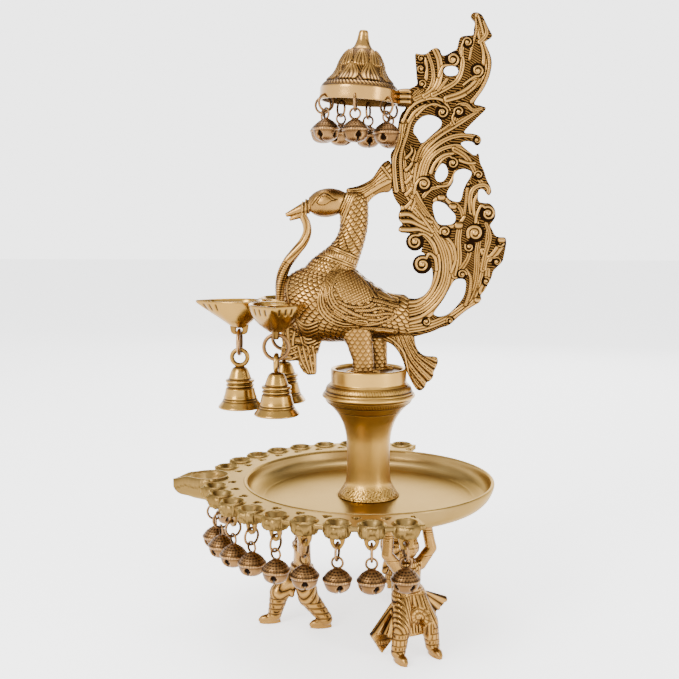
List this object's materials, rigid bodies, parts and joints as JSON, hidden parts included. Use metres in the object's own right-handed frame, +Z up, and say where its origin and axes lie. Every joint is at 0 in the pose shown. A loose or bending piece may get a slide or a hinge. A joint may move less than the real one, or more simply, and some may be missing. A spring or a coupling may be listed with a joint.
{
  "type": "standing oil lamp",
  "caption": "Standing brass oil lamp: peacock with a pierced tail on a pedestal in a dish ringed with oil cups and hanging bells, carried by small figures.",
  "frame": {"origin": "on the floor, under the middle of the lamp's overall outline", "axes": "+Z up, -X the way the peacock faces and the tray's tip points, +Y to the peacock's right"},
  "size_m": [0.2527, 0.2536, 0.4574],
  "materials": {
    "brass_patina": "cast, hand chased, dark patina in the recesses",
    "brass_polished": "polished",
    "brass_satin": "satin, lacquered",
    "brass_brown": "aged, brown",
    "steel": "plain"
  },
  "bodies": {
    "lamp": {"tray": "brass_polished", "pedestal": "brass_satin", "tie_bolt": "steel", "tie_nut": "steel", "peacock_base": "brass_satin", "peacock_body": "brass_patina", "peacock_wings": "brass_patina", "crest": "brass_patina", "beak_branch": "brass_patina", "breast_plume": "brass_patina", "fan_tail": "brass_patina", "tail_scroll": "brass_patina", "triple_lamp": "brass_satin", "canopy": "brass_patina", "canopy_arm": "brass_polished", "figure_front": "brass_patina", "figure_left": "brass_patina", "figure_rear": "brass_patina"},
    "bell_ring_left": {"bell_ring_left": "brass_satin"},
    "bell_left": {"bell_left": "brass_satin"},
    "clapper_left": {"clapper_left": "brass_satin"},
    "bell_ring_front": {"bell_ring_front": "brass_satin"},
    "bell_front": {"bell_front": "brass_satin"},
    "clapper_front": {"clapper_front": "brass_satin"},
    "bell_ring_rear": {"bell_ring_rear": "brass_satin"},
    "bell_rear": {"bell_rear": "brass_satin"},
    "clapper_rear": {"clapper_rear": "brass_satin"},
    "canopy_ghungroo_1": {"canopy_ghungroo_1": "brass_brown"},
    "canopy_ghungroo_2": {"canopy_ghungroo_2": "brass_brown"},
    "canopy_ghungroo_3": {"canopy_ghungroo_3": "brass_brown"},
    "canopy_ghungroo_4": {"canopy_ghungroo_4": "brass_brown"},
    "canopy_ghungroo_5": {"canopy_ghungroo_5": "brass_brown"},
    "canopy_ghungroo_6": {"canopy_ghungroo_6": "brass_brown"},
    "canopy_ghungroo_7": {"canopy_ghungroo_7": "brass_brown"},
    "tray_ghungroo_near_1": {"tray_ghungroo_near_1": "brass_brown"},
    "tray_ghungroo_near_2": {"tray_ghungroo_near_2": "brass_brown"},
    "tray_ghungroo_near_3": {"tray_ghungroo_near_3": "brass_brown"},
    "tray_ghungroo_near_4": {"tray_ghungroo_near_4": "brass_brown"},
    "tray_ghungroo_near_5": {"tray_ghungroo_near_5": "brass_brown"},
    "tray_ghungroo_near_6": {"tray_ghungroo_near_6": "brass_brown"},
    "tray_ghungroo_near_7": {"tray_ghungroo_near_7": "brass_brown"},
    "tray_ghungroo_near_8": {"tray_ghungroo_near_8": "brass_brown"},
    "tray_ghungroo_near_9": {"tray_ghungroo_near_9": "brass_brown"},
    "tray_ghungroo_far_1": {"tray_ghungroo_far_1": "brass_brown"},
    "tray_ghungroo_far_2": {"tray_ghungroo_far_2": "brass_brown"},
    "tray_ghungroo_far_3": {"tray_ghungroo_far_3": "brass_brown"},
    "tray_ghungroo_far_4": {"tray_ghungroo_far_4": "brass_brown"},
    "tray_ghungroo_far_5": {"tray_ghungroo_far_5": "brass_brown"},
    "tray_ghungroo_far_6": {"tray_ghungroo_far_6": "brass_brown"},
    "tray_ghungroo_far_7": {"tray_ghungroo_far_7": "brass_brown"},
    "tray_ghungroo_far_8": {"tray_ghungroo_far_8": "brass_brown"},
    "tray_ghungroo_far_9": {"tray_ghungroo_far_9": "brass_brown"}
  },
  "joints": [
    {"name": "ring_left_swing", "type": "hinge", "parent": "lamp", "child": "bell_ring_left", "pos_m": [-0.0731, 0, 0.2256], "axis": [0, 1, 0], "range_deg": [-3, 22]},
    {"name": "bell_left_swing", "type": "hinge", "parent": "bell_ring_left", "child": "bell_left", "pos_m": [-0.0731, 0, 0.2076], "axis": [0, 1, 0], "range_deg": [-3, 18]},
    {"name": "clapper_left_swing", "type": "hinge", "parent": "bell_left", "child": "clapper_left", "pos_m": [-0.0731, 0, 0.189], "axis": [0, 1, 0], "range_deg": [-12, 12]},
    {"name": "ring_front_swing", "type": "hinge", "parent": "lamp", "child": "bell_ring_front", "pos_m": [-0.0421, -0.028, 0.2256], "axis": [-1, 0, 0], "range_deg": [-3, 22]},
    {"name": "bell_front_swing", "type": "hinge", "parent": "bell_ring_front", "child": "bell_front", "pos_m": [-0.0421, -0.028, 0.2076], "axis": [-1, 0, 0], "range_deg": [-3, 18]},
    {"name": "clapper_front_swing", "type": "hinge", "parent": "bell_front", "child": "clapper_front", "pos_m": [-0.0421, -0.028, 0.189], "axis": [-1, 0, 0], "range_deg": [-12, 12]},
    {"name": "ring_rear_swing", "type": "hinge", "parent": "lamp", "child": "bell_ring_rear", "pos_m": [-0.0421, 0.028, 0.2256], "axis": [1, 0, 0], "range_deg": [-3, 22]},
    {"name": "bell_rear_swing", "type": "hinge", "parent": "bell_ring_rear", "child": "bell_rear", "pos_m": [-0.0421, 0.028, 0.2076], "axis": [1, 0, 0], "range_deg": [-3, 18]},
    {"name": "clapper_rear_swing", "type": "hinge", "parent": "bell_rear", "child": "clapper_rear", "pos_m": [-0.0421, 0.028, 0.189], "axis": [1, 0, 0], "range_deg": [-12, 12]},
    {"name": "canopy_ghungroo_1_swing", "type": "hinge", "parent": "lamp", "child": "canopy_ghungroo_1", "pos_m": [0.04036, 0.01514, 0.39527], "axis": [0.5446, -0.8387, 0], "range_deg": [-2, 20]},
    {"name": "canopy_ghungroo_2_swing", "type": "hinge", "parent": "lamp", "child": "canopy_ghungroo_2", "pos_m": [0.02334, 0.02709, 0.39646], "axis": [0.9744, -0.225, 0], "range_deg": [-2, 20]},
    {"name": "canopy_ghungroo_3_swing", "type": "hinge", "parent": "lamp", "child": "canopy_ghungroo_3", "pos_m": [0.00282, 0.02383, 0.39789], "axis": [0.8572, 0.515, 0], "range_deg": [-2, 20]},
    {"name": "canopy_ghungroo_4_swing", "type": "hinge", "parent": "lamp", "child": "canopy_ghungroo_4", "pos_m": [-0.00969, 0.0072, 0.39877], "axis": [0.2588, 0.9659, 0], "range_deg": [-2, 20]},
    {"name": "canopy_ghungroo_5_swing", "type": "hinge", "parent": "lamp", "child": "canopy_ghungroo_5", "pos_m": [-0.00616, -0.01514, 0.39852], "axis": [-0.5446, 0.8387, 0], "range_deg": [-2, 20]},
    {"name": "canopy_ghungroo_6_swing", "type": "hinge", "parent": "lamp", "child": "canopy_ghungroo_6", "pos_m": [0.01517, -0.02773, 0.39703], "axis": [-0.9976, 0.0698, 0], "range_deg": [-2, 20]},
    {"name": "canopy_ghungroo_7_swing", "type": "hinge", "parent": "lamp", "child": "canopy_ghungroo_7", "pos_m": [0.03738, -0.01896, 0.39547], "axis": [-0.682, -0.7314, 0], "range_deg": [-2, 20]},
    {"name": "tray_ghungroo_near_1_swing", "type": "hinge", "parent": "lamp", "child": "tray_ghungroo_near_1", "pos_m": [-0.08837, -0.02929, 0.099], "axis": [-0.2504, 0.9681, 0], "range_deg": [-12, 20]},
    {"name": "tray_ghungroo_near_2_swing", "type": "hinge", "parent": "lamp", "child": "tray_ghungroo_near_2", "pos_m": [-0.08061, -0.05055, 0.099], "axis": [-0.4321, 0.9018, 0], "range_deg": [-12, 20]},
    {"name": "tray_ghungroo_near_3_swing", "type": "hinge", "parent": "lamp", "child": "tray_ghungroo_near_3", "pos_m": [-0.06891, -0.06992, 0.099], "axis": [-0.5976, 0.8018, 0], "range_deg": [-12, 20]},
    {"name": "tray_ghungroo_near_4_swing", "type": "hinge", "parent": "lamp", "child": "tray_ghungroo_near_4", "pos_m": [-0.05369, -0.08667, 0.099], "axis": [-0.7408, 0.6717, 0], "range_deg": [-12, 20]},
    {"name": "tray_ghungroo_near_5_swing", "type": "hinge", "parent": "lamp", "child": "tray_ghungroo_near_5", "pos_m": [-0.03553, -0.10018, 0.099], "axis": [-0.8563, 0.5165, 0], "range_deg": [-12, 20]},
    {"name": "tray_ghungroo_near_6_swing", "type": "hinge", "parent": "lamp", "child": "tray_ghungroo_near_6", "pos_m": [-0.01512, -0.10994, 0.099], "axis": [-0.9397, 0.342, 0], "range_deg": [-12, 20]},
    {"name": "tray_ghungroo_near_7_swing", "type": "hinge", "parent": "lamp", "child": "tray_ghungroo_near_7", "pos_m": [0.0068, -0.11559, 0.099], "axis": [-0.988, 0.1547, 0], "range_deg": [-12, 20]},
    {"name": "tray_ghungroo_near_8_swing", "type": "hinge", "parent": "lamp", "child": "tray_ghungroo_near_8", "pos_m": [0.02939, -0.11691, 0.099], "axis": [-0.9993, -0.0384, 0], "range_deg": [-12, 20]},
    {"name": "tray_ghungroo_near_9_swing", "type": "hinge", "parent": "lamp", "child": "tray_ghungroo_near_9", "pos_m": [0.05182, -0.11386, 0.099], "axis": [-0.9732, -0.23, 0], "range_deg": [-12, 20]},
    {"name": "tray_ghungroo_far_1_swing", "type": "hinge", "parent": "lamp", "child": "tray_ghungroo_far_1", "pos_m": [-0.08837, 0.02929, 0.099], "axis": [0.2504, 0.9681, 0], "range_deg": [-12, 20]},
    {"name": "tray_ghungroo_far_2_swing", "type": "hinge", "parent": "lamp", "child": "tray_ghungroo_far_2", "pos_m": [-0.08061, 0.05055, 0.099], "axis": [0.4321, 0.9018, 0], "range_deg": [-12, 20]},
    {"name": "tray_ghungroo_far_3_swing", "type": "hinge", "parent": "lamp", "child": "tray_ghungroo_far_3", "pos_m": [-0.06891, 0.06992, 0.099], "axis": [0.5976, 0.8018, 0], "range_deg": [-12, 20]},
    {"name": "tray_ghungroo_far_4_swing", "type": "hinge", "parent": "lamp", "child": "tray_ghungroo_far_4", "pos_m": [-0.05369, 0.08667, 0.099], "axis": [0.7408, 0.6717, 0], "range_deg": [-12, 20]},
    {"name": "tray_ghungroo_far_5_swing", "type": "hinge", "parent": "lamp", "child": "tray_ghungroo_far_5", "pos_m": [-0.03553, 0.10018, 0.099], "axis": [0.8563, 0.5165, 0], "range_deg": [-12, 20]},
    {"name": "tray_ghungroo_far_6_swing", "type": "hinge", "parent": "lamp", "child": "tray_ghungroo_far_6", "pos_m": [-0.01512, 0.10994, 0.099], "axis": [0.9397, 0.342, 0], "range_deg": [-12, 20]},
    {"name": "tray_ghungroo_far_7_swing", "type": "hinge", "parent": "lamp", "child": "tray_ghungroo_far_7", "pos_m": [0.0068, 0.11559, 0.099], "axis": [0.988, 0.1547, 0], "range_deg": [-12, 20]},
    {"name": "tray_ghungroo_far_8_swing", "type": "hinge", "parent": "lamp", "child": "tray_ghungroo_far_8", "pos_m": [0.02939, 0.11691, 0.099], "axis": [0.9993, -0.0384, 0], "range_deg": [-12, 20]},
    {"name": "tray_ghungroo_far_9_swing", "type": "hinge", "parent": "lamp", "child": "tray_ghungroo_far_9", "pos_m": [0.05182, 0.11386, 0.099], "axis": [0.9732, -0.23, 0], "range_deg": [-12, 20]}
  ]
}
